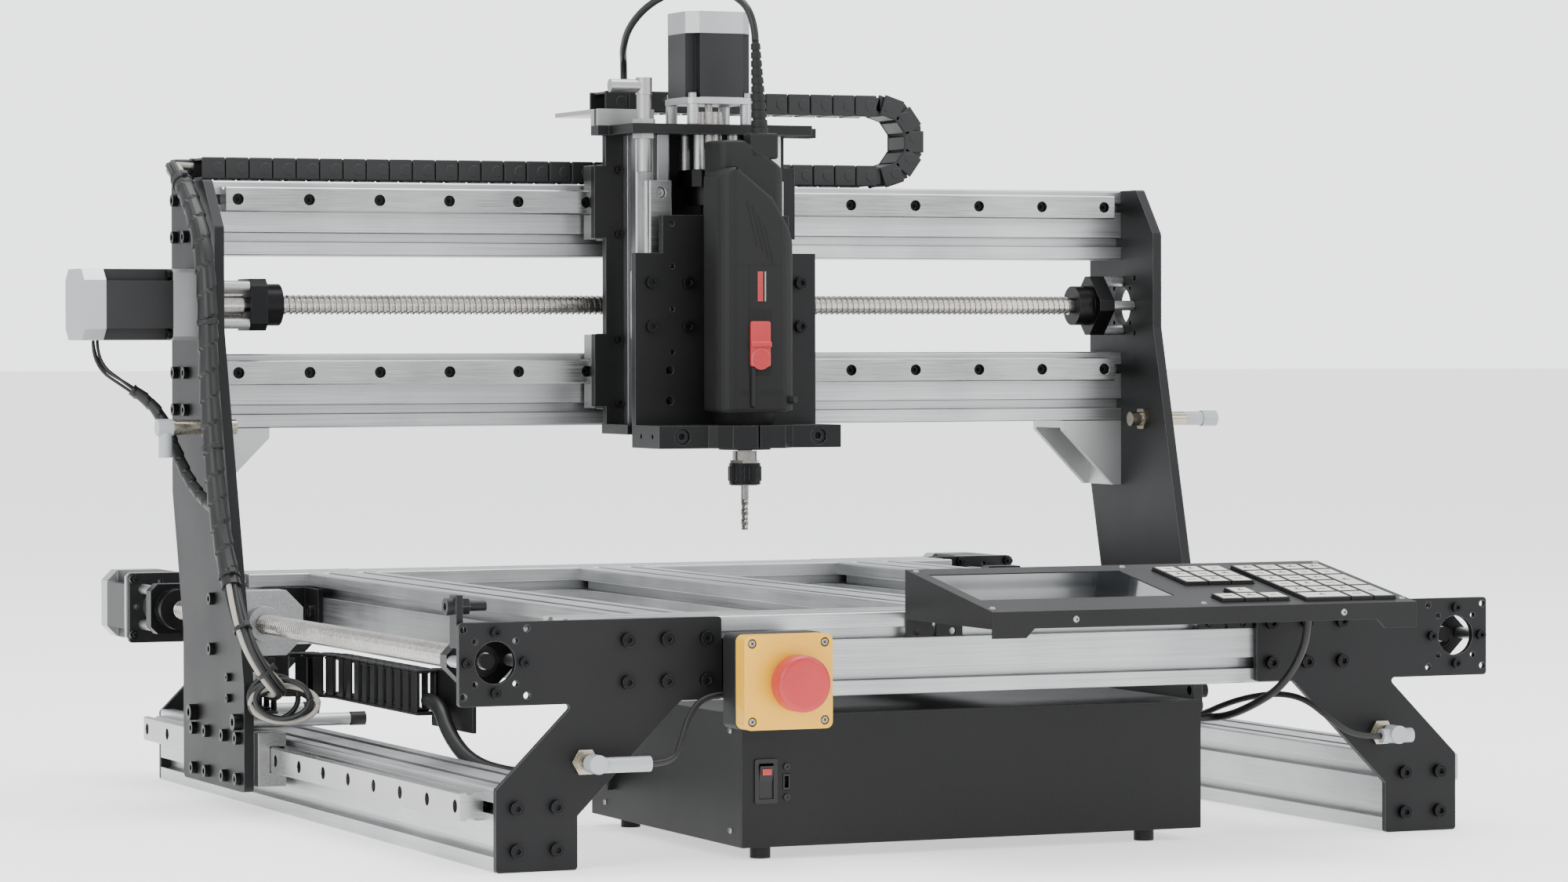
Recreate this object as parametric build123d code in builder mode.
from build123d import *
import math
import os

# Moving-gantry CNC router: ball-screw axes on a slotted aluminium frame, with its control box,
# operator console and emergency stop.  Millimetres, +X right, +Y to the back, +Z up.
# The origin is the middle of the table's top.  Heights in this script are measured from the
# bench, and the drawing helpers take them down by the table's height.

os.makedirs("parts", exist_ok=True)

# ---- driving dimensions -------------------------------------------------------------------
gap = 0.3                   # clearance between pieces that move past each other
fit = 0.05                  # radial running clearance of a shaft in its bearing
beam = 60.0                 # side of the large slotted beam
frame_length = 830.0        # side beams, along Y
frame_half = 387.0          # middle of the machine to the outer face of a side beam
table_top = 176.0           # bench to the top of the table beams
table_pitch = 245.0         # middle of the machine to an outer table beam
end_plate = 5.0             # thickness of the frame's end plates
arm_inner = 216.0           # inner end of an end plate's arm
gantry_plate = 8.0          # gantry, carriage and Z plates
gantry_height = 502.0       # top of the gantry
gantry_back = 254.0         # back of the gantry, at rest
x_beam_step = 140.0         # from one X beam to the next
rail_width = 20.0
rail_height = 17.5
rail_sink = 9.0             # depth of a rail screw's counterbore
rail_counterbore = 4.75
rail_hole = 3.0
rail_pitch = 60.0           # between a rail's screws
rail_end = 10.0             # from a rail's end to its first screw
y_rail_length = 800.0
x_rail_length = 800.0
z_rail_length = 200.0
side_rail_shift = 6.0       # the side rails sit this far back of the middle
block_height = 28.0         # rail's seat to the top of its block
block_lift = 4.6            # rail's seat to the underside of a block
block_length = 77.5
block_width = 44.0
flange_width = 63.0         # flanged blocks of the X carriage
block_ys = (88.0, 172.0)    # middles of the gantry's blocks, at rest
screw_radius = 8.0          # ball screws
journal_radius = 6.0        # their turned ends
shaft_radius = 3.175        # motor shafts
coupling_radius = 12.0
y_screw_z = 147.5
motor_side = 57.0
motor_bolts = 47.14         # square of a size 23 motor's bolts
motor_length = 78.0
bearing_side = 42.0         # cut-corner bearing plate
bearing_plate = 14.0
bearing_nose = 15.0         # its round housing
bearing_nose_radius = 17.0
standoff_radius = 4.0
standoff_square = 30.0      # square of a bearing's standoffs
bolt_hole = 2.6
bolt_shank = 2.3
bolt_head = 5.0
small_hole = 2.1
sensor_radius = 6.0
sensor_hole = 6.2
nut_radius = 10.0
column = 30.0               # side of a Z column
# a T-slot's mouth, lip, throat, depth and floor, and the bore behind it, in a column's size
groove_sizes = (8.2, 2.2, 13.0, 9.0, 7.0, 3.4)
column_x = 50.0
plate_half = 80.0           # half width of the carriage and Z plates
carriage_low = 303.5
carriage_high = 542.0
neck_radius = 21.5          # neck of the milling motor
chain_height = 18.0         # cable chain, across its links
x_chain_radius = 30.0       # to the middle of the links
holder_plate = 3.0          # sheet that holds a chain's fixed end
x_chain_bend_x = 195.0
y_chain_radius = 54.5
y_chain_bend_y = 200.0
tool_tip = 218.0

# ---- places worked out from them ----------------------------------------------------------
side_x = frame_half - beam / 2
half_length = frame_length / 2
cross_half = frame_half - beam
plate_in = frame_half + block_height            # inner face of a gantry plate
plate_out = plate_in + gantry_plate
arm_half = plate_in - 1                         # outer end of an end plate's arm
side_rail_z = 3 * beam / 4
y_chain_moving_x = 12 - plate_in
y_chain_fixed_x = y_chain_moving_x + 2 * y_chain_radius
table_low = table_top - beam
beam_y = gantry_back - beam / 2
beam_front = gantry_back - beam                 # front face of the X beams
x_screw_y = beam_front - 2
upper_beam_z = gantry_height - beam / 2
lower_beam_z = upper_beam_z - x_beam_step
x_screw_z = (upper_beam_z + lower_beam_z) / 2
x_rail_zs = (lower_beam_z + beam / 4, upper_beam_z + beam / 4)
carriage_back = beam_front - block_height
carriage_front = carriage_back - gantry_plate
column_y = carriage_front - column / 2
column_front = carriage_front - column
z_screw_y = column_front + 1
z_plate_back = column_front - block_height
z_plate_front = z_plate_back - gantry_plate
router_y = z_plate_front - 39                   # spindle axis
x_block_x = block_length / 2 + 10
z_block_z = 401.75
bearing_circle = standoff_square / math.sqrt(2)
slot = beam / 4                                 # a slot's distance from the beam's middle
y_screw_at = [(side * frame_half, y_screw_z) for side in (-1, 1)]


# ---- drawing helpers ----------------------------------------------------------------------
def plane_at(axis, place):
    """A sketch plane across an axis: (y, z) on X, (x, z) on Y and (x, y) on Z."""
    if axis == "x":
        return Plane(origin=(place, 0, -table_top), x_dir=(0, 1, 0), z_dir=(1, 0, 0))
    if axis == "y":
        return Plane(origin=(0, place, -table_top), x_dir=(1, 0, 0), z_dir=(0, -1, 0))
    return Plane.XY.offset(place - table_top)


def rise(sketch, axis, start, end, mode=Mode.ADD):
    """Extrude a sketch that lies at start as far as end."""
    extrude(sketch.sketch, amount=(start - end) if axis == "y" else (end - start), mode=mode)


def bars(axis, places, start, end, radius, mode=Mode.ADD, sides=0):
    """Round or many-sided bars along an axis."""
    with BuildSketch(plane_at(axis, start)) as outline:
        with Locations(*places):
            if sides:
                RegularPolygon(radius, sides)
            else:
                Circle(radius)
    rise(outline, axis, start, end, mode)


def slab(axis, points, start, end, corner=0.0, mode=Mode.ADD):
    """A flat piece given by its corners."""
    with BuildSketch(plane_at(axis, start)) as outline:
        Polygon(*points, align=None)
        if corner:
            fillet(outline.vertices(), radius=corner)
    rise(outline, axis, start, end, mode)


def block(xs, ys, zs, mode=Mode.ADD):
    """A block given by its two ends along X, Y and Z, in either order."""
    with Locations((sum(xs) / 2, sum(ys) / 2, sum(zs) / 2 - table_top)):
        Box(abs(xs[1] - xs[0]), abs(ys[1] - ys[0]), abs(zs[1] - zs[0]), mode=mode)


def square(centre, pitch, other=None):
    """The four corners of a square or rectangular pattern."""
    u, v = centre
    other = pitch if other is None else other
    return [(u + i * pitch / 2, v + j * other / 2) for i in (-1, 1) for j in (-1, 1)]


def diamond(centre, radius):
    u, v = centre
    return [(u + radius, v), (u, v + radius), (u - radius, v), (u, v - radius)]


def heads(axis, places, face, way, radius=bolt_head, height=4.5):
    """Socket heads that stand on a face, each with its hexagon."""
    bars(axis, places, face, face + way * height, radius)
    top = face + way * height
    bars(axis, places, top, top - way * height * 0.55, radius * 0.52, Mode.SUBTRACT, sides=6)


def bolts(axis, places, face, way, depth, radius=bolt_head, height=4.5):
    """Socket bolts: heads on a face and shanks that reach a depth behind it."""
    heads(axis, places, face, way, radius, height)
    bars(axis, places, face, face - way * depth, min(bolt_shank, radius * 0.55))


def slotted(axis, width, centres, slots, start, end):
    """Square extrusions with T-slots at the given offsets on all four sides."""
    share = width / len(slots) / column
    mouth, lip, throat, depth, floor, bore = (share * size for size in groove_sizes)
    half = width / 2
    groove = [
        (-mouth / 2, half + 1), (-mouth / 2, half - lip), (-throat / 2, half - lip),
        (-throat / 2, half - 2 * lip), (-floor / 2, half - depth), (floor / 2, half - depth),
        (throat / 2, half - 2 * lip), (throat / 2, half - lip), (mouth / 2, half - lip),
        (mouth / 2, half + 1),
    ]
    with BuildSketch(plane_at(axis, start)) as outline:
        for u, v in centres:
            with Locations((u, v)):
                RectangleRounded(width, width, 1.5)
            with Locations(*[(u + a, v + b) for a in slots for b in slots]):
                Circle(bore, mode=Mode.SUBTRACT)
            for turn in ((1, 0), (0, 1), (-1, 0), (0, -1)):
                for offset in slots:
                    cut = []
                    for a, b in groove:
                        along = a + offset
                        cut.append((u + turn[0] * along - turn[1] * b,
                                    v + turn[1] * along + turn[0] * b))
                    Polygon(*cut, align=None, mode=Mode.SUBTRACT)
    rise(outline, axis, start, end)


def cut_corner(width, centre, cut, turn=0.0):
    """Square with its corners cut, drawn into the sketch that is open."""
    h = width / 2
    c, s = math.cos(math.radians(turn)), math.sin(math.radians(turn))
    corners = [(cut - h, -h), (h - cut, -h), (h, cut - h), (h, h - cut), (h - cut, h), (cut - h, h),
               (-h, h - cut), (-h, cut - h)]
    u, v = centre
    Polygon(*[(u + c * p - s * q, v + s * p + c * q) for p, q in corners], align=None)


def rail(axis, centre, outward, start, end):
    """Rail with waisted sides; outward is the way it stands on its seat, in sketch terms."""
    w, h = rail_width / 2, rail_height
    points = [(-w, 0), (w, 0), (w, 6), (w - 2, 8), (w - 2, 11), (w, 13), (w, h - 1), (w - 1, h),
              (1 - w, h), (-w, h - 1), (-w, 13), (2 - w, 11), (2 - w, 8), (-w, 6)]
    u, v = centre
    a, b = outward
    slab(axis, [(u + b * p + a * q, v + a * p + b * q) for p, q in points], start, end)


def rail_holes(axis, places, top, way):
    """Counterbored screw holes; way points out of the rail's top face."""
    bars(axis, places, top, top - way * rail_sink, rail_counterbore, Mode.SUBTRACT)
    bars(axis, places, top, top - way * rail_height, rail_hole, Mode.SUBTRACT)


def rail_screws(axis, places, top, way):
    """Socket screws at the bottom of the rail's counterbores, into the slot behind it."""
    bolts(axis, places, top - way * rail_sink, way, rail_height - rail_sink + 6, 4.2, 5.0)


def screw_row(length, middle):
    """Where a rail's screws are along it."""
    count = int((length - 2 * rail_end) / rail_pitch + 0.001) + 1
    return [middle + (i - (count - 1) / 2) * rail_pitch for i in range(count)]


def motor(axis, centre, face, back):
    """Stepper motor: flange, notched lamination stack and rear cap."""
    way = 1 if back > face else -1
    flange, cap = face + way * 5, back - way * 18
    with BuildSketch(plane_at(axis, face)) as flange_outline:
        cut_corner(motor_side, centre, 3)
    rise(flange_outline, axis, face, flange)
    notch = 9.5
    with BuildSketch(plane_at(axis, flange)) as stack_outline:
        cut_corner(motor_side, centre, 1)
        with Locations(*square(centre, motor_side - notch)):
            Rectangle(notch, notch, mode=Mode.SUBTRACT)
    rise(stack_outline, axis, flange, cap)
    with BuildSketch(plane_at(axis, cap)) as cap_outline:
        cut_corner(motor_side, centre, 9)
    rise(cap_outline, axis, cap, back)
    bars(axis, square(centre, motor_bolts), face, flange, bolt_hole, Mode.SUBTRACT)
    bars(axis, [centre], face, cap, shaft_radius + fit, Mode.SUBTRACT)


def bearing(axis, centre, back, way, turned):
    """Cut-corner bearing plate and round housing, bored for a journal."""
    nose = back + way * bearing_plate
    end = nose + way * bearing_nose
    with BuildSketch(plane_at(axis, back)) as outline:
        cut_corner(bearing_side, centre, 6, 45 if turned else 0)
    rise(outline, axis, back, nose)
    bars(axis, [centre], nose, end, bearing_nose_radius)
    bars(axis, [centre], back, end, journal_radius + fit, Mode.SUBTRACT)


def shaft(axis, centre, steps):
    """A turned shaft from (start, end, radius) steps."""
    for start, end, radius in steps:
        bars(axis, [centre], start, end, radius)


def carriage_block(axis, centre, outward, along, width, seat_to_top=block_height):
    """Linear block over a rail: body, end caps and the channel for the rail."""
    u, v = centre
    a, b = outward
    w = width / 2
    channel = rail_width / 2 + gap
    roof = rail_height + gap
    start, end = along - block_length / 2, along + block_length / 2
    cap = 11.0
    for low, high, inset in ((start, start + cap, 1.0), (start + cap, end - cap, 0.0),
                             (end - cap, end, 1.0)):
        points = [(-w + inset, block_lift), (-channel, block_lift), (-channel, roof),
                  (channel, roof), (channel, block_lift), (w - inset, block_lift),
                  (w - inset, seat_to_top - inset), (inset - w, seat_to_top - inset)]
        placed = [(u + b * p + a * q, v + a * p + b * q) for p, q in points]
        slab(axis, placed, low, high)


def tube(points, radius):
    """A cable along its points, with the bends rounded as widely as the runs allow."""
    points = [Vector(x, y, z - table_top) for x, y, z in points]
    bends = bend_radii(points)
    with BuildLine() as route:
        FilletPolyline(*points, radius=bends)
    path = route.wires()[0]
    with BuildSketch(Plane(origin=points[0], z_dir=points[1] - points[0])) as section:
        Circle(radius)
    sweep(section.sketch, path=path)
    print(f"cable {radius * 2:.1f} mm across, length {path.length:.1f}, bends "
          + " ".join(f"{bend:.0f}" for bend in bends))


def bend_radii(points):
    """The widest bend that the runs on both sides of each corner allow."""
    widest = []
    for a, b, c in zip(points, points[1:], points[2:]):
        into, out = b - a, c - b
        half_turn = math.radians(into.get_angle(out)) / 2
        widest.append(0.45 * min(into.length, out.length) / math.tan(half_turn))
    return widest


def save(piece, name):
    piece.part.label = name
    export_step(piece.part, f"parts/{name}.step")
    box = piece.part.bounding_box()
    print(f"{name:22s} {len(piece.part.solids()):3d} solids"
          f"  x {box.min.X:.1f} {box.max.X:.1f}  y {box.min.Y:.1f} {box.max.Y:.1f}"
          f"  z {box.min.Z:.1f} {box.max.Z:.1f}")


# ---- frame --------------------------------------------------------------------------------
both_slots = (-slot, slot)
with BuildPart() as side_beams:
    slotted("y", beam, [(-side_x, beam / 2), (side_x, beam / 2)], both_slots,
            -half_length, half_length)
save(side_beams, "side_beams")

with BuildPart() as cross_beams:
    ends = [(side * (half_length - beam / 2), table_top - beam / 2) for side in (-1, 1)]
    slotted("x", beam, ends, both_slots, -cross_half, cross_half)
save(cross_beams, "cross_beams")

table_half = half_length - beam
with BuildPart() as table_beams:
    rows = [(x, table_top - beam / 2) for x in (-table_pitch, 0, table_pitch)]
    slotted("y", beam, rows, both_slots, -table_half, table_half)
save(table_beams, "table_beams")

# End plates: a leg on the side beam, a sloping neck and an arm that carries the screw.
leg_inner = frame_half - beam - 1
arm_low = table_low + 1
leg_shoulder = 58.0
neck_inner = 38.0
plate_hole = 15.0
sensor_x, sensor_z = frame_half - 66, 76.0
arm_bolt_xs = (228.0, 258.0, 288.0)
arm_bolt_zs = (table_low + slot, table_top - slot)
leg_bolts = square((side_x, beam / 2), 2 * slot)


def end_plate_pair(y, sensors):
    for side in (-1, 1):
        neck = frame_half - (arm_low - leg_shoulder)
        corners = [
            (frame_half, 0), (frame_half, leg_shoulder), (neck, arm_low), (arm_half, arm_low),
            (arm_half, table_top), (arm_inner, table_top), (arm_inner, arm_low),
            (leg_inner - 79, arm_low), (leg_inner, neck_inner), (leg_inner, 0),
        ]
        slab("y", [(side * x, z) for x, z in corners], y, y + end_plate, corner=2.5)
        centre = (side * frame_half, y_screw_z)
        bars("y", [centre], y, y + end_plate, plate_hole, Mode.SUBTRACT)
        holes = square(centre, motor_bolts)
        holes += [(side * x, z) for x, z in leg_bolts]
        holes += [(side * x, z) for x in arm_bolt_xs for z in arm_bolt_zs]
        bars("y", holes, y, y + end_plate, bolt_hole, Mode.SUBTRACT)
        holes = square(centre, standoff_square) + diamond(centre, bearing_circle)
        bars("y", holes, y, y + end_plate, small_hole, Mode.SUBTRACT)
        if sensors:
            bars("y", [(side * sensor_x, sensor_z)], y, y + end_plate, sensor_hole, Mode.SUBTRACT)


with BuildPart() as end_plates:
    end_plate_pair(-half_length - end_plate, True)
    end_plate_pair(half_length, False)
save(end_plates, "end_plates")

y_rail_screws = [(y, side_rail_z) for y in screw_row(y_rail_length, side_rail_shift)]
y_rail_ends = (side_rail_shift - y_rail_length / 2, side_rail_shift + y_rail_length / 2)
with BuildPart() as side_rails:
    for side in (-1, 1):
        rail("y", (side * frame_half, side_rail_z), (side, 0), *y_rail_ends)
        rail_holes("x", y_rail_screws, side * (frame_half + rail_height), side)
save(side_rails, "side_rails")

front_standoff = 25.0
rear_standoff = 30.0
front_bearing_y = -half_length + front_standoff
rear_bearing_y = half_length - rear_standoff
with BuildPart() as y_bearings:
    for centre in y_screw_at:
        bearing("y", centre, front_bearing_y, 1, True)
        bearing("y", centre, rear_bearing_y, -1, False)
        bars("y", diamond(centre, bearing_circle), -half_length, front_bearing_y, standoff_radius)
        bars("y", square(centre, standoff_square), half_length, rear_bearing_y, standoff_radius)
save(y_bearings, "y_bearings")

rear_face = half_length + end_plate
with BuildPart() as y_motors:
    for centre in y_screw_at:
        motor("y", centre, rear_face, rear_face + motor_length)
save(y_motors, "y_motors")


def y_screw(centre):
    front_nose = front_bearing_y + bearing_plate + bearing_nose
    rear_nose = rear_bearing_y - bearing_plate - bearing_nose
    coupling = (rear_bearing_y + 3, rear_bearing_y + 28)
    shaft("y", centre, (
        (front_bearing_y - 8, front_nose + 0.5, journal_radius),
        (front_nose + 0.5, rear_nose - 0.5, screw_radius),
        (rear_nose - 0.5, coupling[0] + 2, journal_radius),
        (coupling[0], coupling[1], coupling_radius),
        (coupling[1], rear_face + 40, shaft_radius),
    ))


with BuildPart() as y_screw_left:
    y_screw(y_screw_at[0])
save(y_screw_left, "y_screw_left")

with BuildPart() as y_screw_right:
    y_screw(y_screw_at[1])
save(y_screw_right, "y_screw_right")

# Screws, nuts and small brackets of the frame.
front_face = -half_length - end_plate
chain_plate_x = (y_chain_fixed_x + chain_height / 2 + gap,
                 y_chain_fixed_x + chain_height / 2 + gap + holder_plate)
chain_plate_ys = (-86.0, 10.0)
with BuildPart() as frame_fasteners:
    for side in (-1, 1):
        centre = (side * frame_half, y_screw_z)
        plate_bolts = [(side * x, z) for x, z in leg_bolts]
        plate_bolts += [(side * x, z) for x in arm_bolt_xs for z in arm_bolt_zs]
        bolts("y", plate_bolts, front_face, -1, end_plate + 7)
        bolts("y", plate_bolts, rear_face, 1, end_plate + 7)
        heads("y", diamond(centre, bearing_circle), front_face, -1, 3.6, 4.0)
        motor_screws = square(centre, motor_bolts)
        bolts("y", motor_screws, rear_face + 5, 1, 5 + end_plate + 8, 3.8, 4.0)
        bars("y", motor_screws, half_length, half_length - 4, 4.4, sides=6)
        rail_screws("x", y_rail_screws, side * (frame_half + rail_height), side)
save(frame_fasteners, "frame_fasteners")

corner_leg, corner_wall = 40.0, 4.0
corner_zs = (table_top - 50, table_top - 12)
with BuildPart() as frame_brackets:
    # where the outer table beams meet the cross beams
    for side in (-1, 1):
        for end in (-1, 1):
            inner = end * table_half
            face = side * (table_pitch + beam / 2)
            far_x, far_y = face + side * corner_leg, inner - end * corner_leg
            block((face, far_x), (inner, inner - end * corner_wall), corner_zs)
            block((face, face + side * corner_wall), (inner, far_y), corner_zs)
            slab("z", [(face, inner), (far_x, inner), (face, far_y)], corner_zs[0] - 3, corner_zs[0])
            bolt_z = (corner_zs[0] + corner_zs[1]) / 2
            heads("y", [(face + side * 27, bolt_z)], inner - end * corner_wall, -end)
            heads("x", [(inner - end * 27, bolt_z)], face + side * corner_wall, side)
    # lug with its bolt on the front left arm
    block((-arm_half, 5 - arm_half), (-half_length, 14 - half_length), (table_top - 18, table_top + 19))
    lug_bolt = [(7 - half_length, table_top + 11)]
    heads("x", lug_bolt, -arm_half, -1, 6.0, 6.0)
    bars("x", lug_bolt, 5 - arm_half, 11 - arm_half, 6.4, sides=6)
    bars("x", lug_bolt, 5 - arm_half, 24 - arm_half, 3.6)
    # holder of the Y cable chain's fixed end, under the left table beam
    block(chain_plate_x, chain_plate_ys, (71, table_low))
    block((chain_plate_x[1], -table_pitch + beam / 2 - 10), chain_plate_ys, (table_low - 3, table_low))
    heads("x", [(-40, 84)], chain_plate_x[1], 1, 3.0, 3.0)
save(frame_brackets, "frame_brackets")

with BuildPart() as frame_sensors:
    for side, reach in ((-1, 41.0), (1, 14.0)):
        place = (side * sensor_x, sensor_z)
        bars("y", [place], front_face - 16, -half_length + 43, sensor_radius)
        bars("y", [place], front_face - 4, front_face, nut_radius, sides=6)
        bars("y", [place], -half_length, -half_length + 4, nut_radius, sides=6)
        bars("y", [place], front_face - 30, front_face - 16, sensor_radius + 0.8)
        start = side * sensor_x - (12 if side > 0 else 0)
        bars("x", [(front_face - 23, sensor_z - 1)], start, start + reach + 12 * (side > 0), 5.5)
save(frame_sensors, "frame_sensors")

# ---- control box --------------------------------------------------------------------------
box_left, box_right = -197.0, 173.0
box_front = -half_length + 3
box_rear = box_front + 300
box_floor, box_top = 9.0, 104.0
sheet = 1.5
rocker_at = (-178.75, 56.5)
rocker_half = (5.2, 12.0)
usb_at = (-162.5, 55.5)
inlet_at = (118.0, 52.0)
box_cable_y = box_front + 260
console_gland, lead_gland = (box_front + 34, 88), (box_front + 67, 85)
with BuildPart() as box_tray:
    inner = (box_left + sheet + gap, box_right - sheet - gap)
    block((box_left, box_right), (box_front, box_front + sheet), (box_floor, box_top - sheet))
    block((box_left, box_right), (box_rear - sheet, box_rear), (box_floor, box_top - sheet))
    block(inner, (box_front + sheet, box_rear - sheet), (box_floor, box_floor + sheet))
    window = [(rocker_at[0] + i * 6.6, rocker_at[1] + j * 13.6) for i, j in
              ((-1, -1), (1, -1), (1, 1), (-1, 1))]
    slab("y", window, box_front - 1, box_front + sheet + 1, mode=Mode.SUBTRACT)
    port = [(usb_at[0] + i * 3, usb_at[1] + j * 6) for i, j in ((-1, -1), (1, -1), (1, 1), (-1, 1))]
    slab("y", port, box_front - 1, box_front + sheet + 1, mode=Mode.SUBTRACT)
    socket = [(inlet_at[0] + i * 14, inlet_at[1] + j * 10) for i, j in
              ((-1, -1), (1, -1), (1, 1), (-1, 1))]
    slab("y", socket, box_rear - sheet - 1, box_rear + 1, mode=Mode.SUBTRACT)
    feet = [(x, y) for x in (box_left + 21, box_right - 39) for y in (box_front + 17, box_rear - 28)]
    bars("z", feet, 0, box_floor, 7.5)
save(box_tray, "box_tray")

with BuildPart() as box_cover:
    block((box_left, box_right), (box_front, box_rear), (box_top - sheet, box_top))
    for face, side in ((box_left, 1), (box_right, -1)):
        block((face, face + side * sheet), (box_front + sheet + gap, box_rear - sheet - gap),
              (box_floor, box_top - sheet))
    # glands where the cables go in
    bars("x", [(box_cable_y, 40)], box_left, box_left - 5, 11.0, sides=6)
    bars("x", [lead_gland, console_gland], box_right, box_right + 5, 7.0, sides=6)
save(box_cover, "box_cover")

with BuildPart() as box_electronics:
    # power supply, four drivers and the controller board, on posts
    block((-185, -75), (box_front + 67, box_rear - 18), (box_floor + 8, box_floor + 58))
    for i in range(4):
        left = -55 + i * 50
        block((left, left + 34), (box_front + 82, box_front + 197), (box_floor + 8, box_floor + 80))
    block((-55, 130), (box_rear - 88, box_rear - 13), (box_floor + 14, box_floor + 16))
    supply_posts = square((-130, (box_front + box_rear) / 2 + 24.5), 80, 185)
    driver_posts = [(-38 + i * 50, box_front + y) for i in range(4) for y in (92, 187)]
    bars("z", supply_posts + driver_posts, box_floor + sheet, box_floor + 8, 4)
    board_posts = square((37.5, box_rear - 50.5), 175, 65)
    bars("z", board_posts, box_floor + sheet, box_floor + 14, 3)
    # bezel of the power switch
    with BuildSketch(plane_at("y", box_front)) as bezel:
        with Locations(rocker_at):
            RectangleRounded(17.4, 32, 1.5)
            Rectangle(11.4, 25.6, mode=Mode.SUBTRACT)
    rise(bezel, "y", box_front, box_front - 1.5)
    # computer socket and its screws
    block((usb_at[0] - 2.7, usb_at[0] + 2.7), (box_front - 0.5, box_front + 16),
          (usb_at[1] - 5.7, usb_at[1] + 5.7))
    block((usb_at[0] - 1.7, usb_at[0] + 1.7), (box_front - 0.5, box_front + 6),
          (usb_at[1] - 4.2, usb_at[1] + 4.2), mode=Mode.SUBTRACT)
    heads("y", [(usb_at[0], usb_at[1] + 11), (usb_at[0], usb_at[1] - 11)], box_front, -1, 2.4, 1.6)
    # mains inlet
    block((inlet_at[0] - 13.7, inlet_at[0] + 13.7), (box_rear - 20, box_rear + 2),
          (inlet_at[1] - 9.7, inlet_at[1] + 9.7))
    block((inlet_at[0] - 11, inlet_at[0] + 11), (box_rear - 14, box_rear + 2),
          (inlet_at[1] - 7, inlet_at[1] + 7), mode=Mode.SUBTRACT)
save(box_electronics, "box_electronics")

rocker_pivot_y = box_front + 4.5
rocker_tilt = 7.0
with BuildPart() as power_rocker:
    shape = [(-6.5, 12.0), (-5.0, 0.0), (-6.5, -12.0), (1.0, -8.0), (4.0, 0.0), (1.0, 8.0)]
    c, s = math.cos(math.radians(rocker_tilt)), math.sin(math.radians(rocker_tilt))
    turned = [(rocker_pivot_y + c * y - s * z, rocker_at[1] + s * y + c * z) for y, z in shape]
    slab("x", turned, rocker_at[0] - rocker_half[0], rocker_at[0] + rocker_half[0])
save(power_rocker, "power_rocker")

# ---- emergency stop -----------------------------------------------------------------------
stop_at = (-185.0, 131.5)
stop_left, stop_right, stop_low, stop_high = -223.0, -154.5, 98.0, 166.0
stop_middle = ((stop_left + stop_right) / 2, (stop_low + stop_high) / 2)
stop_back, stop_seam, stop_front = (-half_length - y for y in (25, 47, 63))
stop_travel = 4.0
with BuildPart() as stop_box_base:
    with BuildSketch(plane_at("y", stop_back)) as shell:
        with Locations(stop_middle):
            RectangleRounded(stop_right - stop_left, stop_high - stop_low, 5)
    rise(shell, "y", stop_back, stop_seam)
    block((stop_left + 4, stop_right - 4), (stop_back - 3, stop_seam),
          (stop_low + 4, stop_high - 4), Mode.SUBTRACT)
    block((2 - arm_inner, -160), (-half_length, stop_back), (120, 160))
save(stop_box_base, "stop_box_base")

stop_corners = square(stop_middle, stop_right - stop_left - 13, stop_high - stop_low - 13)
with BuildPart() as stop_box_cover:
    with BuildSketch(plane_at("y", stop_seam)) as lid:
        with Locations(stop_middle):
            RectangleRounded(stop_right - stop_left - 1, stop_high - stop_low - 1, 5)
    rise(lid, "y", stop_seam, stop_front)
    bars("y", [stop_at], stop_front, stop_front - 1.5, 15.0)
    bars("y", [stop_at], stop_seam, stop_front - 1.5, 11.0 + gap, Mode.SUBTRACT)
    bars("y", stop_corners, stop_front, stop_front + 4, 3.4, Mode.SUBTRACT)
save(stop_box_cover, "stop_box_cover")

with BuildPart() as stop_button:
    bars("y", [stop_at], stop_front - 22, stop_front - 6.5, 20.0)
    bars("y", [stop_at], stop_front - 6.5, stop_seam + 4, 11.0)
    rim = stop_button.edges().filter_by(GeomType.CIRCLE).sort_by(Axis.Y)[0]
    fillet(rim, radius=4)
save(stop_button, "stop_button")

# ---- operator console ---------------------------------------------------------------------
console_left, console_right = -70.0, 270.0
console_back_z, console_front_z = 206.2, 182.4
console_front = -half_length - 147.7
console_low = 170.2
wall = 2.0
slope_run = math.hypot(half_length + console_front, console_back_z - console_front_z)
slope_cos = (-half_length - console_front) / slope_run
slope_sin = (console_back_z - console_front_z) / slope_run
slope = Plane(origin=(console_left, -half_length, console_back_z - table_top), x_dir=(1, 0, 0),
              z_dir=(0, -slope_sin, slope_cos))
# ranges on the sloping face: across from the left edge, and down from the back edge
screen_window = ((9.5, 163.5), (20.0, 109.0))
key_gap = 0.6


def on_slope(across, down):
    """Corners of a rectangle on the sloping face."""
    (a, b), (c, d) = across, down
    return [(a, -c), (b, -c), (b, -d), (a, -d)]


def slope_block(across, down, low, high, mode=Mode.ADD):
    with BuildSketch(slope.offset(low)) as outline:
        Polygon(*on_slope(across, down), align=None)
    extrude(outline.sketch, amount=high - low, mode=mode)


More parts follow.
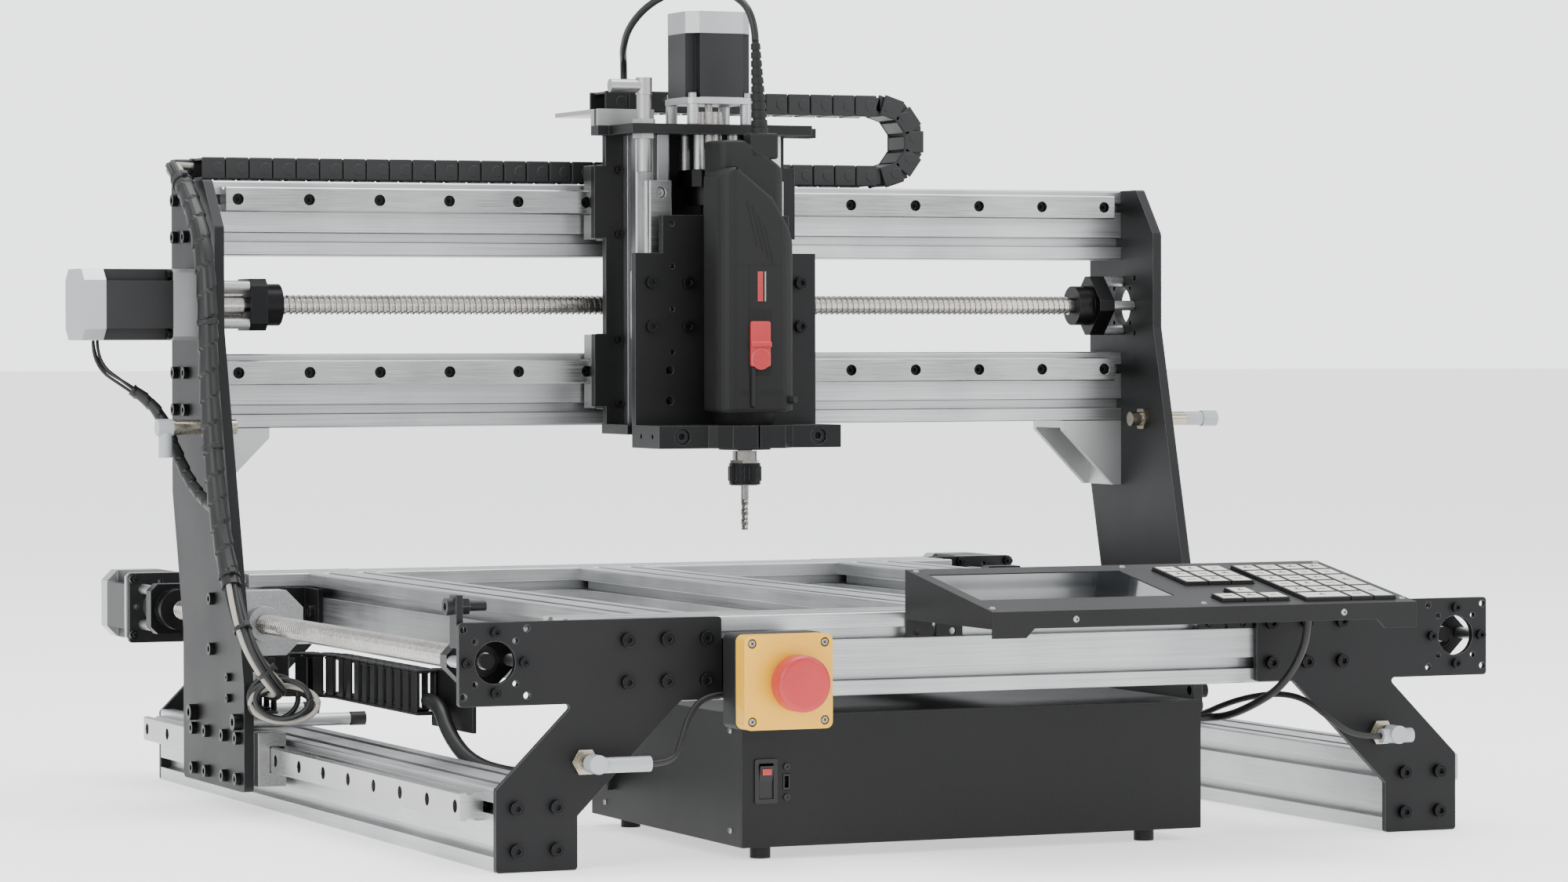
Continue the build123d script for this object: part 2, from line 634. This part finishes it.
def key_rows():
    """Every key as (across, down) ranges on the sloping face."""
    keys = []
    for i in range(3):
        for j in range(3):
            keys.append(((189 + 19 * i, 208 + 19 * i), (21.5 + 18.5 * j, 40 + 18.5 * j)))
    keys.append(((208, 227), (98.5, 117)))
    for i in range(3):
        keys.append(((188 + 18.5 * i, 206.5 + 18.5 * i), (117.3, 136)))
    left, top, pitch, tall = 254.0, 22.0, 18.75, 19.65
    for row in range(6):
        for col in range(4):
            joined = (row == 3 and col == 3) or (row == 5 and col in (1, 3))
            if joined:
                continue
            wide = 2 if row == 5 and col == 0 else 1
            deep = 2 if col == 3 and row in (2, 4) else 1
            keys.append(((left + pitch * col, left + pitch * (col + wide)),
                         (top + tall * row, top + tall * (row + deep))))
    return keys


key_fields = (((188.4, 246.6), (21.0, 77.6)), ((207.4, 227.6), (98.0, 117.3)),
              ((187.4, 244.1), (117.0, 136.6)), ((253.4, 329.6), (21.4, 140.5)))
with BuildPart() as console_case:
    top_skin = [
        (-half_length, console_back_z), (console_front, console_front_z),
        (console_front, console_low), (console_front + wall, console_low),
        (console_front + wall, console_front_z - wall), (-half_length, console_back_z - wall),
    ]
    slab("x", top_skin, console_left, console_right)
    half_wall = wall / 2
    side_wall = [
        (-half_length, console_back_z - half_wall),
        (console_front + half_wall, console_front_z - half_wall),
        (console_front + half_wall, console_low), (-half_length, console_low),
    ]
    slab("x", side_wall, console_left, console_left + wall)
    slab("x", side_wall, console_right - wall, console_right)
    block((console_left, console_right), (-half_length - wall, -half_length),
          (console_low, console_back_z - wall))
    # end legs of the front flange and tabs on the beam
    for side, edge in ((1, console_left), (-1, console_right)):
        leg = [(edge, console_low), (edge + side * 32.5, console_low),
               (edge + side * 26, console_low - 6.5), (edge, console_low - 6.5)]
        slab("y", leg, console_front, console_front + wall)
    for side, edge in ((1, console_left), (-1, arm_inner - 2)):
        for start in (0, 24):
            tab = (edge + side * start, edge + side * (start + 21))
            block(tab, (-half_length - wall, -half_length), (157, console_low + 1))
        holes = [(edge + side * 8, table_top - slot), (edge + side * 37, table_top - slot)]
        bars("y", holes, -half_length - wall, -half_length, bolt_hole, Mode.SUBTRACT)
    # room for the right end plate's arm
    block((arm_inner - gap, console_right + 1), (front_face - gap, -half_length),
          (table_low, table_top + gap), Mode.SUBTRACT)
    slope_block(*screen_window, -wall - 2, 1, Mode.SUBTRACT)
    for field in key_fields:
        slope_block(*field, -wall - 2, 1, Mode.SUBTRACT)
save(console_case, "console_case")

with BuildPart() as console_screen:
    slope_block((6, 167), (16.5, 112.5), -8, -wall - gap)
    slope_block((9.8, 163.2), (20.3, 108.7), -wall - gap, -0.4)
save(console_screen, "console_screen")

with BuildPart() as console_keypad:
    slope_block((183, 334), (17, 144), -6, -4)
    for across, down in key_rows():
        trimmed = ((across[0] + key_gap, across[1] - key_gap), (down[0] + key_gap, down[1] - key_gap))
        slope_block(*trimmed, -4, 2.6)
save(console_keypad, "console_keypad")

# ---- gantry -------------------------------------------------------------------------------
foot_front, foot_back, foot_low = 58.0, 224.0, 19.0
knee_y = 133.0
side_rod_ys = (67.0, 187.0)
side_rod_z = 74.0
chain_bolts = [(95.0, 91.0), (95.0, 107.5)]
nut_front, nut_back = 128.0, 150.0
nut_bolts = [((nut_front + nut_back) / 2, y_screw_z + k * 20) for k in (-1, 1)]
gantry_sensor_at = (150.0, 304.0)
x_screw_at = (x_screw_y, x_screw_z)
block_bolts = [p for y in block_ys for p in square((y, side_rail_z), 36, 32)]
beam_bolts = [p for z in (lower_beam_z, upper_beam_z) for p in square((beam_y, z), 2 * slot)]
plate_corners = [
    (gantry_back, gantry_height), (gantry_back - 89, gantry_height), (knee_y, gantry_height - 39),
    (knee_y, x_screw_z - 19), (foot_front, 103), (foot_front, foot_low), (foot_back, foot_low),
    (foot_back, 140), (gantry_back, 250),
]
with BuildPart() as gantry_plates:
    for side in (-1, 1):
        start, end = side * plate_in, side * plate_out
        slab("x", plate_corners, start, end, corner=5)
        bars("x", [x_screw_at], start, end, 16, Mode.SUBTRACT)
        holes = square(x_screw_at, motor_bolts) + block_bolts + beam_bolts + nut_bolts
        bars("x", holes, start, end, bolt_hole, Mode.SUBTRACT)
        holes = square(x_screw_at, standoff_square) + diamond(x_screw_at, bearing_circle)
        if side < 0:
            holes += chain_bolts
        bars("x", holes, start, end, small_hole, Mode.SUBTRACT)
        bars("x", [(y, side_rod_z) for y in side_rod_ys], start, end, 4.2, Mode.SUBTRACT)
        bars("x", [gantry_sensor_at], start, end, sensor_hole, Mode.SUBTRACT)
save(gantry_plates, "gantry_plates")

with BuildPart() as x_beams:
    rows = [(beam_y, lower_beam_z), (beam_y, upper_beam_z)]
    slotted("x", beam, rows, both_slots, -plate_in, plate_in)
save(x_beams, "x_beams")

x_rail_screws = [(x, z) for z in x_rail_zs for x in screw_row(x_rail_length, 0)]
rail_front = beam_front - rail_height
with BuildPart() as x_rails:
    for z in x_rail_zs:
        rail("x", (beam_front, z), (-1, 0), -x_rail_length / 2, x_rail_length / 2)
    rail_holes("y", x_rail_screws, rail_front, -1)
save(x_rails, "x_rails")

with BuildPart() as side_blocks:
    for side in (-1, 1):
        for y in block_ys:
            carriage_block("y", (side * frame_half, side_rail_z), (side, 0), y, block_width)
        bars("x", block_bolts, side * plate_in, side * (plate_in - 9), bolt_hole, Mode.SUBTRACT)
save(side_blocks, "side_blocks")

spacer = 20.0
x_motor_face = -plate_out - spacer
with BuildPart() as x_motor:
    motor("x", x_screw_at, x_motor_face, x_motor_face - motor_length)
    # square adapter between the motor and the plate
    with BuildSketch(plane_at("x", -plate_out)) as adapter:
        cut_corner(motor_side, x_screw_at, 3)
        with Locations(x_screw_at):
            Circle(16, mode=Mode.SUBTRACT)
        with Locations(*square(x_screw_at, motor_bolts)):
            Circle(bolt_hole, mode=Mode.SUBTRACT)
    rise(adapter, "x", -plate_out, x_motor_face)
save(x_motor, "x_motor")

left_standoff, right_standoff = 34.0, 20.0
left_bearing_x = -plate_in + left_standoff
right_bearing_x = plate_in - right_standoff
with BuildPart() as x_bearings:
    bearing("x", x_screw_at, left_bearing_x, 1, False)
    bearing("x", x_screw_at, right_bearing_x, -1, True)
    bars("x", square(x_screw_at, standoff_square), -plate_in, left_bearing_x, standoff_radius)
    bars("x", diamond(x_screw_at, bearing_circle), plate_in, right_bearing_x, standoff_radius)
save(x_bearings, "x_bearings")

with BuildPart() as x_screw:
    reach = bearing_plate + bearing_nose + 0.5
    shaft("x", x_screw_at, (
        (right_bearing_x + 8, right_bearing_x - reach, journal_radius),
        (right_bearing_x - reach, left_bearing_x + reach, screw_radius),
        (left_bearing_x + reach, left_bearing_x - 5, journal_radius),
        (left_bearing_x - 3, left_bearing_x - 28, coupling_radius),
        (left_bearing_x - 28, x_motor_face - 25, shaft_radius),
    ))
save(x_screw, "x_screw")

y_chain_low, y_chain_high = 80.0, 116.0
rod_tip = 12.0
rod_end = plate_in - 94
with BuildPart() as gantry_fasteners:
    for side in (-1, 1):
        outer = side * plate_out
        bolts("x", beam_bolts, outer, side, gantry_plate + 8)
        bolts("x", block_bolts, outer, side, gantry_plate + 8)
        bolts("x", nut_bolts, outer, side, gantry_plate + 8)
        heads("x", [(y, side_rod_z) for y in side_rod_ys], outer, side, 6.5, 7.0)
    heads("x", diamond(x_screw_at, bearing_circle), plate_out, 1, 3.6, 4.0)
    bolts("x", chain_bolts, -plate_out, -1, gantry_plate, 3.4, 3.4)
    motor_screws = square(x_screw_at, motor_bolts)
    bolts("x", motor_screws, x_motor_face - 5, -1, 5 + spacer + gantry_plate, 3.8, 4.0)
    rail_screws("y", x_rail_screws, rail_front, -1)
save(gantry_fasteners, "gantry_fasteners")

gusset = 56.0
web = 6.0
lower_face = lower_beam_z - beam / 2
with BuildPart() as gantry_brackets:
    for side in (-1, 1):
        wall_x = side * plate_in
        block((wall_x, wall_x - side * gusset), (beam_front, gantry_back), (lower_face - web, lower_face))
        block((wall_x, wall_x - side * web), (beam_front, gantry_back), (lower_face - gusset, lower_face))
        far_x, foot_x = wall_x - side * gusset, wall_x - side * (web + 2)
        corner = [(wall_x, lower_face), (far_x, lower_face), (far_x, lower_face - web - 2),
                  (foot_x, lower_face - gusset), (wall_x, lower_face - gusset)]
        for y in (beam_front, gantry_back - web):
            slab("y", corner, y, y + web)
        bars("z", [(wall_x - side * 34, beam_y)], lower_face - web, lower_face - web - 4, 6.0)
        bars("x", [(beam_y, lower_face - 34)], wall_x - side * web, wall_x - side * (web + 4), 6.0)
    # rods that carry the Y cable chain, with their caps, and the holder of its moving end
    rods_at = [(y, side_rod_z) for y in side_rod_ys]
    bars("x", rods_at, -plate_out, -plate_in, 4.0)
    bars("x", rods_at, -plate_in, -rod_end - rod_tip, 5.0)
    bars("x", rods_at, -rod_end - rod_tip, -rod_end, 5.5)
    block((-plate_in, -plate_in + 2.7), (58, 101), (y_chain_low + 3, y_chain_high - 3))
save(gantry_brackets, "gantry_brackets")

nut_radius_screw = 14.0
with BuildPart() as y_nut_brackets:
    for side in (-1, 1):
        inner, low, high = plate_in - 63, y_screw_z - 26, y_screw_z + 26
        corners = [(plate_in, low), (plate_in, high), (inner + 14, high), (inner, high - 14),
                   (inner, low + 14), (inner + 14, low)]
        slab("y", [(side * x, z) for x, z in corners], nut_front, nut_back)
        centre = (side * frame_half, y_screw_z)
        bars("y", [centre], nut_front - 12, nut_back + 8, nut_radius_screw)
        bars("y", [centre], nut_front - 13, nut_back + 9, screw_radius + fit, Mode.SUBTRACT)
        bars("x", nut_bolts, side * plate_in, side * (plate_in - 9), bolt_hole, Mode.SUBTRACT)
save(y_nut_brackets, "y_nut_brackets")

with BuildPart() as gantry_sensors:
    for side, outer in ((-1, plate_in + 37), (1, plate_in + 55)):
        bars("x", [gantry_sensor_at], side * (plate_in - 14), side * outer, sensor_radius)
        bars("x", [gantry_sensor_at], side * (plate_in - 4), side * plate_in, nut_radius, sides=6)
        bars("x", [gantry_sensor_at], side * plate_out, side * (plate_out + 4), nut_radius, sides=6)
        bars("x", [gantry_sensor_at], side * outer, side * (outer + 14), sensor_radius + 0.8)
    y, z = gantry_sensor_at
    bars("z", [(-plate_in - 44, y)], z, z - 24, 5.5)
save(gantry_sensors, "gantry_sensors")

# ---- cable chains -------------------------------------------------------------------------
x_chain_ys = (211.0, 249.0)
x_chain_low = gantry_height + 2
x_chain_mid = x_chain_low + chain_height / 2 + x_chain_radius
x_chain_high = x_chain_mid + x_chain_radius + chain_height / 2
x_chain_fixed_end, x_chain_moving_end = 5 - plate_in, -60.0
with BuildPart() as x_chain_lower:
    run_top = x_chain_low + chain_height
    block((x_chain_fixed_end, x_chain_bend_x - gap), x_chain_ys, (x_chain_low, run_top))
    block((x_chain_fixed_end - 3, x_chain_fixed_end), x_chain_ys, (gantry_height, run_top + 2))
save(x_chain_lower, "x_chain_lower")

with BuildPart() as x_chain_bend:
    with BuildSketch(plane_at("y", x_chain_ys[0])) as loop:
        with Locations((x_chain_bend_x, x_chain_mid)):
            Circle(x_chain_radius + chain_height / 2)
            Circle(x_chain_radius - chain_height / 2, mode=Mode.SUBTRACT)
        with Locations((x_chain_bend_x - 50, x_chain_mid)):
            Rectangle(100, 100, mode=Mode.SUBTRACT)
    rise(loop, "y", *x_chain_ys)
save(x_chain_bend, "x_chain_bend")

with BuildPart() as x_chain_upper:
    run_low = x_chain_high - chain_height
    block((x_chain_moving_end, x_chain_bend_x - gap), x_chain_ys, (run_low, x_chain_high))
save(x_chain_upper, "x_chain_upper")

y_chain_ends = (60.0, -8.0)         # moving end, fixed end
y_chain_middle = (y_chain_fixed_x + y_chain_moving_x) / 2
half_link = chain_height / 2
with BuildPart() as y_chain_moving:
    block((y_chain_moving_x - half_link, y_chain_moving_x + half_link),
          (y_chain_ends[0], y_chain_bend_y - gap), (y_chain_low, y_chain_high))
save(y_chain_moving, "y_chain_moving")

with BuildPart() as y_chain_bend:
    with BuildSketch(plane_at("z", y_chain_low)) as loop:
        with Locations((y_chain_middle, y_chain_bend_y)):
            Circle(y_chain_radius + half_link)
            Circle(y_chain_radius - half_link, mode=Mode.SUBTRACT)
        with Locations((y_chain_middle, y_chain_bend_y - 80)):
            Rectangle(160, 160, mode=Mode.SUBTRACT)
    rise(loop, "z", y_chain_low, y_chain_high)
save(y_chain_bend, "y_chain_bend")

with BuildPart() as y_chain_fixed:
    block((y_chain_fixed_x - half_link, y_chain_fixed_x + half_link),
          (y_chain_ends[1], y_chain_bend_y - gap), (y_chain_low, y_chain_high))
save(y_chain_fixed, "y_chain_fixed")

# ---- X carriage ---------------------------------------------------------------------------
x_block_bolts = [p for side in (-1, 1) for z in x_rail_zs
                 for p in square((side * x_block_x, z), 40, 53)]
half_widths = ((carriage_low, 318, 80), (318, 378, 90), (378, 457, 80), (457, 517, 90),
               (517, carriage_high, 80))
with BuildPart() as carriage_plate:
    edge = [point for low, high, half in half_widths for point in ((half, low), (half, high))]
    outline = edge + [(-x, z) for x, z in reversed(edge)]
    slab("y", outline, carriage_front, carriage_back)
    bars("y", x_block_bolts, carriage_front, carriage_back, bolt_hole, Mode.SUBTRACT)
save(carriage_plate, "carriage_plate")

with BuildPart() as x_blocks:
    for side in (-1, 1):
        for z in x_rail_zs:
            carriage_block("x", (beam_front, z), (-1, 0), side * x_block_x, flange_width)
    bars("y", x_block_bolts, carriage_back, carriage_back + 8, bolt_hole, Mode.SUBTRACT)
save(x_blocks, "x_blocks")

with BuildPart() as z_columns:
    columns = [(-column_x, column_y), (column_x, column_y)]
    slotted("z", column, columns, (0,), carriage_low, carriage_high)
save(z_columns, "z_columns")

z_rail_low = carriage_low + gap
z_rail_screws = [(side * column_x, z) for side in (-1, 1)
                 for z in screw_row(z_rail_length, z_rail_low + z_rail_length / 2)]
with BuildPart() as z_rails:
    for side in (-1, 1):
        rail("z", (side * column_x, column_front), (0, -1), z_rail_low, z_rail_low + z_rail_length)
    rail_holes("y", z_rail_screws, column_front - rail_height, -1)
save(z_rails, "z_rails")

top_plate = carriage_high + gantry_plate
column_bolts = [(-column_x, column_y), (column_x, column_y)]
z_screw_at = (0.0, z_screw_y)
z_sensor_at = (-63.0, column_front - 13)
ledge_y = carriage_front - 8                    # where the top plate and its shelf widen
plate_y = z_plate_back - 2
with BuildPart() as z_end_plates:
    corners = [(-80, plate_y), (80, plate_y), (80, ledge_y), (106, ledge_y), (106, carriage_back),
               (-90, carriage_back), (-90, ledge_y), (-80, ledge_y)]
    slab("z", corners, carriage_high, top_plate)
    low_front = z_plate_back + 8
    slab("z", [(-81, low_front), (81, low_front), (81, carriage_back), (-81, carriage_back)],
         carriage_low - gantry_plate, carriage_low)
    bars("z", [z_screw_at], carriage_high, top_plate, 15, Mode.SUBTRACT)
    holes = square(z_screw_at, motor_bolts) + column_bolts
    bars("z", holes, carriage_high, top_plate, bolt_hole, Mode.SUBTRACT)
    holes = square(z_screw_at, standoff_square)
    bars("z", holes, carriage_high, top_plate, small_hole, Mode.SUBTRACT)
    bars("z", [z_sensor_at], carriage_high, top_plate, sensor_hole, Mode.SUBTRACT)
    bars("z", column_bolts, carriage_low - gantry_plate, carriage_low, bolt_hole, Mode.SUBTRACT)
save(z_end_plates, "z_end_plates")

motor_lift = 17.0
z_motor_face = top_plate + motor_lift
with BuildPart() as z_motor:
    motor("z", z_screw_at, z_motor_face, z_motor_face + motor_length - 2)
save(z_motor, "z_motor")

z_bearing_top = carriage_high - 29
with BuildPart() as z_bearing:
    bearing("z", z_screw_at, z_bearing_top, -1, False)
    bars("z", square(z_screw_at, standoff_square), z_bearing_top, carriage_high, standoff_radius)
save(z_bearing, "z_bearing")

with BuildPart() as z_screw:
    nose = z_bearing_top - bearing_plate - bearing_nose - 0.5
    shaft("z", z_screw_at, (
        (312, nose, screw_radius),
        (nose, z_bearing_top + 19, journal_radius),
        (z_bearing_top + 17, z_bearing_top + 48, coupling_radius),
        (z_bearing_top + 48, z_motor_face + 24, shaft_radius),
    ))
save(z_screw, "z_screw")

chain_shelf = (x_chain_high - chain_height - gap - 3.7, x_chain_high - chain_height - gap)
with BuildPart() as carriage_fittings:
    bolts("y", x_block_bolts, carriage_front, -1, gantry_plate + 7, 3.4, 4.0)
    rail_screws("y", z_rail_screws, column_front - rail_height, -1)
    # posts and screws of the Z motor
    bars("z", square(z_screw_at, motor_bolts), top_plate, z_motor_face, 4.5)
    heads("z", square(z_screw_at, motor_bolts), z_motor_face + 5, 1, 3.8, 4.0)
    bolts("z", column_bolts, carriage_low - gantry_plate, -1, gantry_plate + 8)
    # shelf for the moving end of the X cable chain
    block((-90, -40), (ledge_y, carriage_back), (top_plate, chain_shelf[0]))
    block((-90, -40), (ledge_y, gantry_back - 4), chain_shelf)
    # X ball nut in its bracket
    block((-22, 22), (carriage_back, x_screw_y + 17), (x_screw_z - 20, x_screw_z + 20))
    bars("x", [x_screw_at], -34, 34, 14)
    bars("x", [x_screw_at], -35, 35, screw_radius + fit, Mode.SUBTRACT)
    # Z limit sensor
    bars("z", [z_sensor_at], 511, 574, sensor_radius)
    bars("z", [z_sensor_at], carriage_high - 4, carriage_high, nut_radius, sides=6)
    bars("z", [z_sensor_at], top_plate, top_plate + 4, nut_radius, sides=6)
    bars("z", [z_sensor_at], 574, 588, sensor_radius + 0.8)
    bars("x", [(z_sensor_at[1], 581)], z_sensor_at[0], z_sensor_at[0] - 30, 5.5)
save(carriage_fittings, "carriage_fittings")

# ---- Z slide ------------------------------------------------------------------------------
z_block_bolts = [p for side in (-1, 1) for p in square((side * column_x, z_block_z), 32, 36)]
spare_holes = [(side * 47.5, z) for side in (-1, 1) for z in (363, 398, 433, 468)]
big_holes = [(side * 50, z) for side in (-1, 1) for z in (323, 348)]
with BuildPart() as z_plate:
    corners = [(-80, carriage_low), (80, carriage_low), (80, 444), (56, 444), (56, 475), (-56, 475),
               (-56, 444), (-80, 444)]
    slab("y", corners, z_plate_front, z_plate_back)
    bars("y", z_block_bolts, z_plate_front, z_plate_back, bolt_hole, Mode.SUBTRACT)
    bars("y", spare_holes, z_plate_front, z_plate_back, small_hole, Mode.SUBTRACT)
    bars("y", big_holes, z_plate_front, z_plate_back, 3.4, Mode.SUBTRACT)
save(z_plate, "z_plate")

with BuildPart() as z_blocks:
    for side in (-1, 1):
        carriage_block("z", (side * column_x, column_front), (0, -1), z_block_z, block_width)
    bars("y", z_block_bolts, z_plate_back, z_plate_back + 8, bolt_hole, Mode.SUBTRACT)
    bolts("y", z_block_bolts, z_plate_front, -1, gantry_plate + 6)
    # Z ball nut
    block((-20, 20), (z_plate_back, z_screw_y + 16), (380, 420))
    bars("z", [z_screw_at], 370, 380, 14)
    bars("z", [z_screw_at], 369, 421, screw_radius + fit, Mode.SUBTRACT)
save(z_blocks, "z_blocks")

clamp_low = 285.0
clamp_front, bulge_front, bulge_half = router_y - 13, router_y - 31, 31.0
router_at = (0.0, router_y)
with BuildPart() as router_clamp:
    with BuildSketch(plane_at("z", clamp_low)) as clamp:
        right = [(bulge_half - 8, bulge_front), (bulge_half, clamp_front - 6),
                 (bulge_half + 6, clamp_front), (plate_half, clamp_front), (plate_half, z_plate_back)]
        Polygon(*[(-x, y) for x, y in reversed(right)], *right, align=None)
        with Locations(router_at):
            Circle(neck_radius, mode=Mode.SUBTRACT)
        with Locations((0, bulge_front + 6)):
            Rectangle(2, 16, mode=Mode.SUBTRACT)
    rise(clamp, "z", clamp_low, carriage_low)
    clamp_screws = [(side * 60, 294.5) for side in (-1, 1)]
    bars("y", clamp_screws, clamp_front, clamp_front + 9, 6.8, Mode.SUBTRACT)
    bars("y", clamp_screws, clamp_front, z_plate_back, 4.3, Mode.SUBTRACT)
    bars("x", [(55, 294.5), (80, 294.5)], -plate_half, -plate_half + 12, 2.2, Mode.SUBTRACT)
    bolts("y", clamp_screws, clamp_front + 9, -1, 40, 6.2, 7.5)
save(router_clamp, "router_clamp")

body_radius = 33.0
switch_window = (346.0, 396.0)
switch_span = (352.0, 386.0)
boot_foot = (14.0, router_y - 1, 533.0)
cord_exit = (9.8, router_y - 1, 616.0)
with BuildPart() as router_body:
    with BuildSketch(plane_at("y", router_y)):
        with BuildLine():
            Polyline((0, 283), (neck_radius - 0.9, 283), (neck_radius - 0.9, 285.5),
                     (neck_radius - 0.02, 285.5), (neck_radius - 0.02, 309), (26, 313),
                     (body_radius - 1, 318), (body_radius, 326), (body_radius, 500),
                     (body_radius - 3, 512), (26, 526), (16, 535), (0, 535), (0, 283))
        make_face()
    revolve(axis=Axis((0, router_y, 0), (0, 0, 1)))
    bars("z", [router_at], 283, 303, journal_radius + fit, Mode.SUBTRACT)
    body_front = router_y - body_radius
    block((-10, 10), (body_front - 1, body_front + 5), switch_window, Mode.SUBTRACT)
    # strain relief of the mains lead
    boot_way = (cord_exit[0] - boot_foot[0], 0, cord_exit[2] - boot_foot[2])
    for (x, y, z), radius in ((boot_foot, 7.5), (cord_exit, 3.6)):
        with BuildSketch(Plane(origin=(x, y, z - table_top), z_dir=boot_way)):
            Circle(radius)
    loft()
save(router_body, "router_body")

with BuildPart() as router_switch:
    block((-9.7, 9.7), (body_front + 1.5, body_front + 4.7), switch_span)
    block((-8, 8), (body_front - 3, body_front + 1.5), (switch_span[0] + 6, switch_span[1] - 6))
save(router_switch, "router_switch")

with BuildPart() as spindle:
    shaft("z", router_at, ((300, 282.5, journal_radius), (282.5, 275, 10), (254.5, 240, 3.15),
                           (240, tool_tip, 3.0)))
    bars("z", [router_at], 254.5, 275, 12.7, sides=6)
save(spindle, "spindle")

# ---- cables -------------------------------------------------------------------------------
# Each route is a list of points in order, from where the cable leaves to where it goes in.
def at_front(points):
    """Moves the points near the front with the frame's front end."""
    return [(x, y + box_front + 412 if y < -80 else y, z) for x, y, z in points]


def at_left(points):
    """Moves the points at the left with the left gantry plate."""
    return [(x + 415 - plate_in if x < -390 else x, y, z) for x, y, z in points]


console_cable_points = [(237, -462, 190), (237, -462, 160), (232, -458, 136), (222, -446, 114),
                        (214, -420, 100), (206, -394, 90), (196, -378, 88), (178.1, -378, 88)]
with BuildPart() as console_cable:
    tube(at_front(console_cable_points), 3.0)
save(console_cable, "console_cable")

left_lead_points = [(-279.9, -443, 75), (-262, -443, 75), (-254, -438, 90), (-246, -432, 108),
                    (-232, -429, 121), (-214.1, -429, 121)]
with BuildPart() as left_sensor_lead:
    tube(at_front(left_lead_points), 2.3)
save(left_sensor_lead, "left_sensor_lead")

right_lead_points = [(308.9, -443, 75), (288, -443, 75), (268, -438, 89), (254, -425, 104),
                     (241, -402, 107), (222, -372, 100), (202, -345, 85), (178.1, -345, 85)]
with BuildPart() as right_sensor_lead:
    tube(at_front(right_lead_points), 2.3)
save(right_sensor_lead, "right_sensor_lead")

box_loom_points = [(-294, -8.1, 92), (-294, -34, 92), (-294, -58, 68), (-286, -86, 48),
                   (-262, -116, 40), (-232, -152, 40), (-202.1, -152, 40)]
with BuildPart() as box_loom:
    tube(at_front(box_loom_points), 6.0)
save(box_loom, "box_loom")

router_cord_points = [cord_exit, (8.6, 52, 640), (-4, 78, 659), (-24, 108, 664), (-46, 138, 653),
                      (-55, 168, 634), (-50, 196, 616), (-38, 224, 606), (-38, 224, 582.1)]
with BuildPart() as router_cord:
    tube(router_cord_points, 3.0)
save(router_cord, "router_cord")

loom_points = [(-413.1, 230, 514), (-430, 230, 514), (-434, 208, 512), (-434, 166, 490),
               (-434, 126, 450), (-434, 115, 394), (-434, 114, 345), (-434, 106, 295),
               (-434, 90, 240), (-434, 66, 196), (-434, 40, 162), (-431, 20, 136),
               (-420, 10, 114), (-403, 18, 98), (-403, 59.9, 98)]
motor_lead_points = [(-505, 192, 373.4), (-505, 192, 354), (-478, 186, 336), (-456, 178, 318),
                     (-446, 166, 286), (-441, 146, 262), (-436, 120, 246), (-434, 96, 240)]
with BuildPart() as gantry_loom:
    tube(at_left(loom_points), 8.0)
    tube(at_left(motor_lead_points), 3.0)
save(gantry_loom, "gantry_loom")
